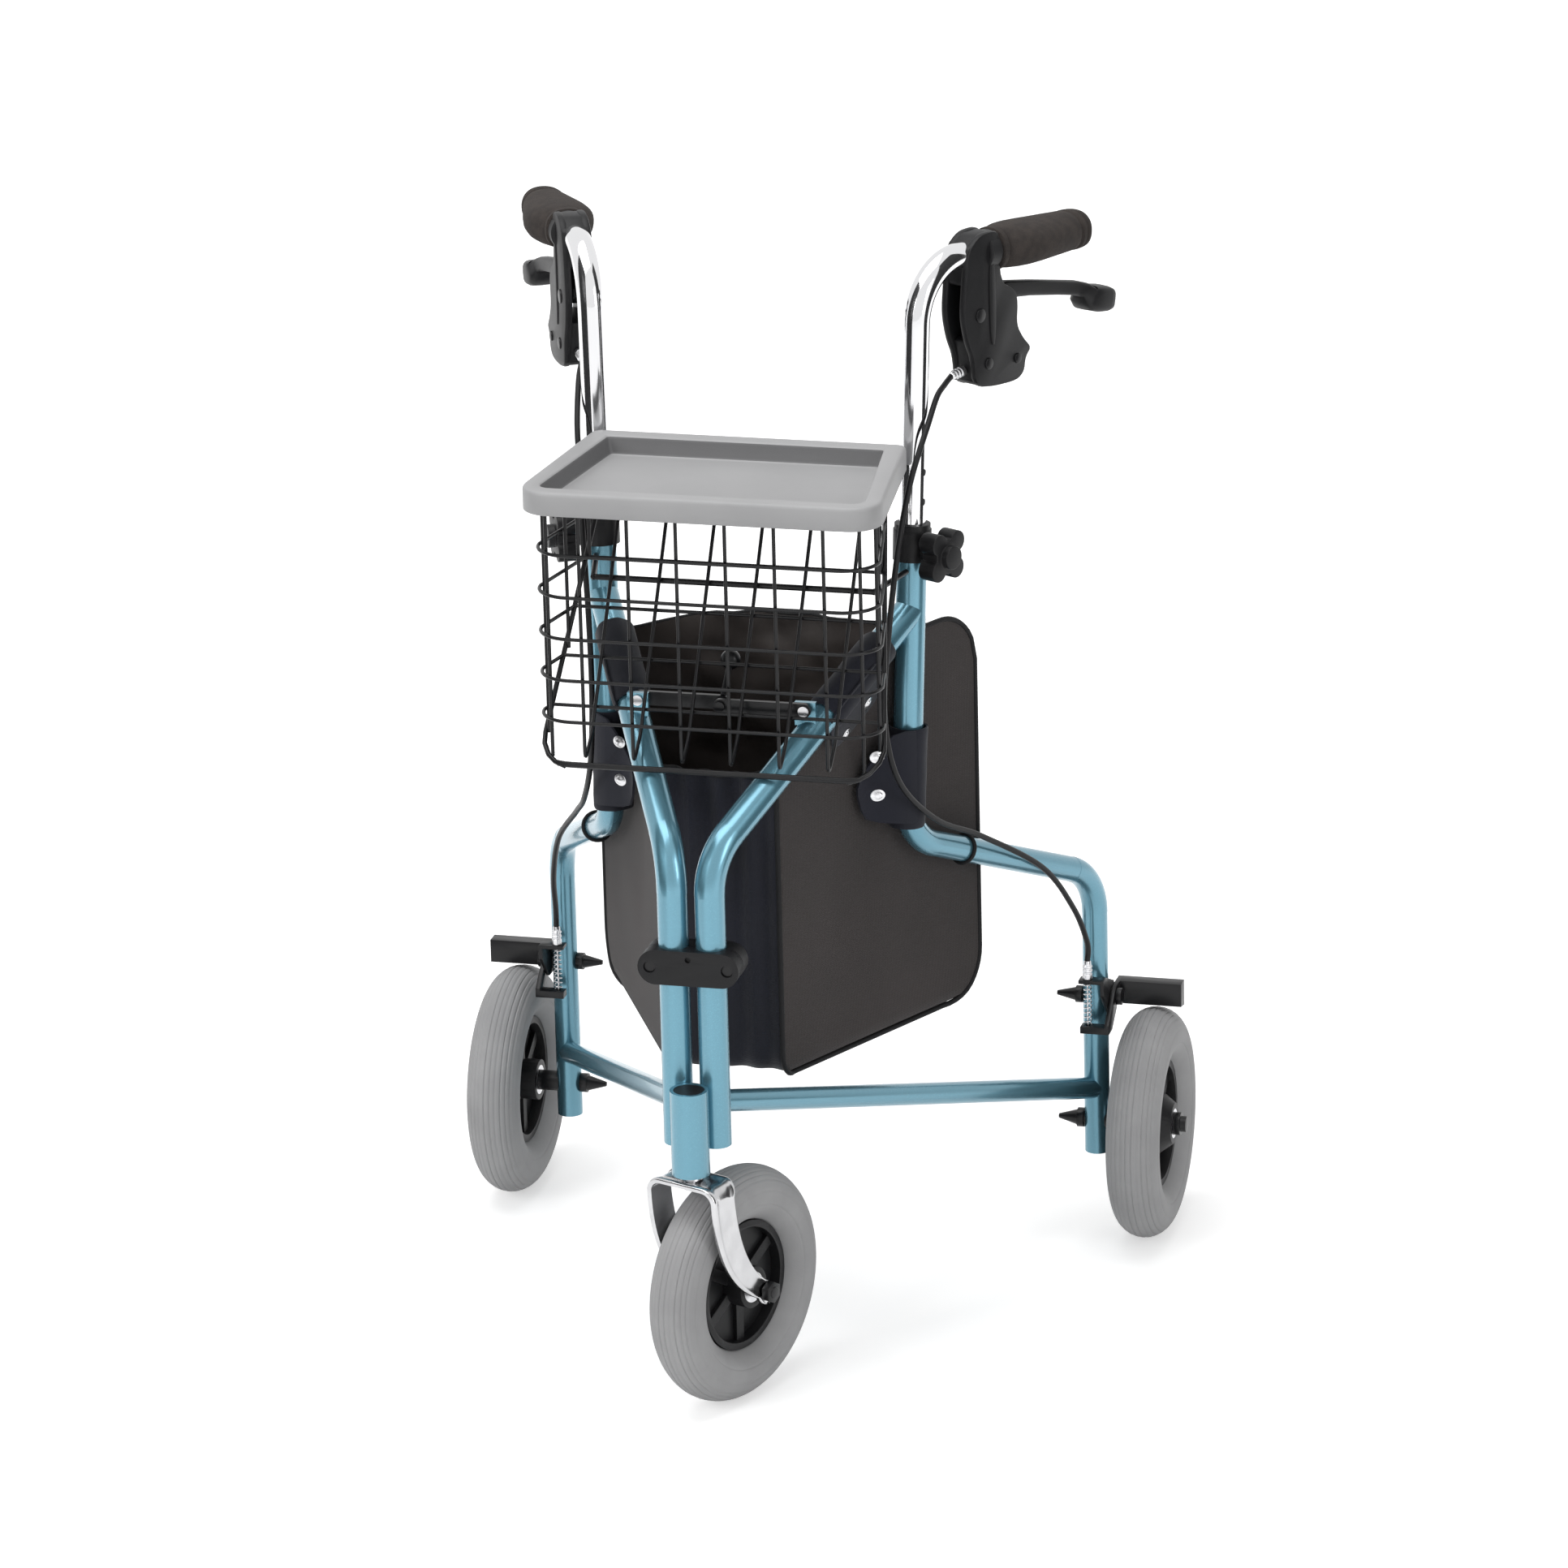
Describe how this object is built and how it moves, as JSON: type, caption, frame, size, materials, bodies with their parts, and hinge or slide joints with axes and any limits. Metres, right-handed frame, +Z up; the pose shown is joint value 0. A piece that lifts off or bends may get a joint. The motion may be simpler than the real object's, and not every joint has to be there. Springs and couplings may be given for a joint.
{
  "type": "three wheel rollator",
  "caption": "Folding three wheel walking frame with a swivelling front caster, height-set handles, hand brakes, wire basket, tray and cloth bag.",
  "frame": {"origin": "middle of the bounding box, on the ground", "axes": "+Z up, -Y the way it is pushed, with the caster in front; +X to the left hand of the person who walks behind it"},
  "size_m": [0.6408, 0.6218, 0.9411],
  "materials": {
    "blue_paint": "metallic gloss",
    "steel": "satin",
    "black_plastic": "satin",
    "black_steel": "satin",
    "black_wire": "gloss coating",
    "chrome": "polished",
    "tyre": "matt",
    "foam": "matt foam",
    "tray_grey": "satin",
    "bag_cloth": "woven"
  },
  "bodies": {
    "head": {"head_tube": "blue_paint", "hinge_lugs": "blue_paint", "headset_bearings": "steel", "head_cap": "black_plastic", "hinge_bracket_front": "black_plastic", "hinge_bracket_rear": "black_plastic", "hinge_bracket_bolts": "black_steel", "bag": "bag_cloth"},
    "fork": {"caster_fork": "chrome", "fork_stem": "steel", "front_axle": "black_steel"},
    "front_wheel": {"front_tyre": "tyre", "front_rim": "black_plastic", "front_bearings": "steel"},
    "side_right": {"front_tube_right": "blue_paint", "upright_right": "blue_paint", "rear_leg_right": "blue_paint", "cross_tube_right": "blue_paint", "clamp_collar_right": "black_plastic", "link_bolt_right": "steel", "brake_bracket_right": "black_steel", "rear_axle_right": "black_steel", "brake_spring_right": "steel", "brake_cable_right": "black_plastic"},
    "rear_wheel_right": {"rear_tyre_right": "tyre", "rear_rim_right": "black_plastic", "rear_bearings_right": "steel"},
    "handle_right": {"handle_tube_right": "chrome", "grip_right": "foam", "brake_housing_right": "black_plastic"},
    "lever_right": {"brake_lever_right": "black_plastic"},
    "knob_right": {"clamp_knob_right": "black_plastic"},
    "brake_arm_right": {"brake_arm_right": "black_steel"},
    "fold_link_right": {"fold_link_right": "black_steel"},
    "side_left": {"front_tube_left": "blue_paint", "upright_left": "blue_paint", "rear_leg_left": "blue_paint", "cross_tube_left": "blue_paint", "clamp_collar_left": "black_plastic", "link_bolt_left": "steel", "brake_bracket_left": "black_steel", "rear_axle_left": "black_steel", "brake_spring_left": "steel", "brake_cable_left": "black_plastic"},
    "rear_wheel_left": {"rear_tyre_left": "tyre", "rear_rim_left": "black_plastic", "rear_bearings_left": "steel"},
    "handle_left": {"handle_tube_left": "chrome", "grip_left": "foam", "brake_housing_left": "black_plastic"},
    "lever_left": {"brake_lever_left": "black_plastic"},
    "knob_left": {"clamp_knob_left": "black_plastic"},
    "brake_arm_left": {"brake_arm_left": "black_steel"},
    "fold_link_left": {"fold_link_left": "black_steel"},
    "basket": {"basket_front": "black_wire", "basket_sides": "black_wire", "basket_back": "black_wire", "basket_hanger": "black_wire"},
    "tray": {"tray": "tray_grey"}
  },
  "joints": [
    {"name": "caster_swivel", "type": "hinge", "parent": "head", "child": "fork", "pos_m": [0, -0.26516, 0.25], "axis": [0, 0, 1], "continuous": true},
    {"name": "front_wheel_spin", "type": "hinge", "parent": "fork", "child": "front_wheel", "pos_m": [0.02023, -0.2151, 0.1015], "axis": [0.9272, -0.3746, 0], "continuous": true},
    {"name": "fold_right", "type": "hinge", "parent": "head", "child": "side_right", "pos_m": [0.016, -0.24074, 0.3], "axis": [0, 0, 1], "range_deg": [0, 21.5], "deforming": ["bag"]},
    {"name": "rear_wheel_spin_right", "type": "hinge", "parent": "side_right", "child": "rear_wheel_right", "pos_m": [0.28844, 0.20941, 0.1015], "axis": [1, 0, 0], "continuous": true},
    {"name": "handle_height_right", "type": "slide", "parent": "side_right", "child": "handle_right", "axis": [0.0272, 0.0546, 0.9981], "range_m": [-0.066, 0.066], "deforming": ["brake_cable_right"]},
    {"name": "lever_squeeze_right", "type": "hinge", "parent": "handle_right", "child": "lever_right", "pos_m": [0.17004, 0.06821, 0.87208], "axis": [0.8949, -0.4462, 0], "range_deg": [0, 9], "stiffness_Nm_per_rad": 4, "springref_deg": -5.73},
    {"name": "knob_turn_right", "type": "hinge", "parent": "side_right", "child": "knob_right", "pos_m": [0.16173, -0.01567, 0.68653], "axis": [0.8949, -0.4462, 0], "continuous": true},
    {"name": "brake_press_right", "type": "hinge", "parent": "side_right", "child": "brake_arm_right", "pos_m": [0.24044, 0.20941, 0.217], "axis": [-1, 0, 0], "range_deg": [0, 3], "stiffness_Nm_per_rad": 10, "springref_deg": -2.86, "deforming": ["brake_spring_right"]},
    {"name": "fold_link_raise_right", "type": "hinge", "parent": "side_right", "child": "fold_link_right", "pos_m": [0.07178, -0.12887, 0.58252], "axis": [0, 1, 0], "range_deg": [0, 71]},
    {"name": "fold_left", "type": "hinge", "parent": "head", "child": "side_left", "pos_m": [-0.016, -0.24074, 0.3], "axis": [0, 0, -1], "range_deg": [0, 21.5]},
    {"name": "rear_wheel_spin_left", "type": "hinge", "parent": "side_left", "child": "rear_wheel_left", "pos_m": [-0.28844, 0.20941, 0.1015], "axis": [1, 0, 0], "continuous": true},
    {"name": "handle_height_left", "type": "slide", "parent": "side_left", "child": "handle_left", "axis": [-0.0272, 0.0546, 0.9981], "range_m": [-0.066, 0.066], "deforming": ["brake_cable_left"]},
    {"name": "lever_squeeze_left", "type": "hinge", "parent": "handle_left", "child": "lever_left", "pos_m": [-0.17004, 0.06821, 0.87208], "axis": [0.8949, 0.4462, 0], "range_deg": [0, 9], "stiffness_Nm_per_rad": 4, "springref_deg": -5.73},
    {"name": "knob_turn_left", "type": "hinge", "parent": "side_left", "child": "knob_left", "pos_m": [-0.16173, -0.01567, 0.68653], "axis": [-0.8949, -0.4462, 0], "continuous": true},
    {"name": "brake_press_left", "type": "hinge", "parent": "side_left", "child": "brake_arm_left", "pos_m": [-0.24044, 0.20941, 0.217], "axis": [-1, 0, 0], "range_deg": [0, 3], "stiffness_Nm_per_rad": 10, "springref_deg": -2.86, "deforming": ["brake_spring_left"]},
    {"name": "fold_link_raise_left", "type": "hinge", "parent": "side_left", "child": "fold_link_left", "pos_m": [-0.07178, -0.12887, 0.58252], "axis": [0, -1, 0], "range_deg": [0, 71]},
    {"name": "basket_lift", "type": "slide", "parent": "head", "child": "basket", "axis": [0, 0, 1], "range_m": [0, 0.42]},
    {"name": "tray_lift", "type": "slide", "parent": "basket", "child": "tray", "axis": [0, 0, 1], "range_m": [0, 0.25]}
  ],
  "couplings": [
    {"joint": "fold_left", "follows": "fold_right", "ratio": 1},
    {"joint": "brake_press_right", "follows": "lever_squeeze_right", "ratio": 0.3333},
    {"joint": "fold_link_raise_right", "follows": "fold_right", "ratio": 3.3},
    {"joint": "brake_press_left", "follows": "lever_squeeze_left", "ratio": 0.3333},
    {"joint": "fold_link_raise_left", "follows": "fold_right", "ratio": 3.3},
    {"joint": "basket_lift", "follows": "fold_right", "m_per_rad": 1.119}
  ]
}
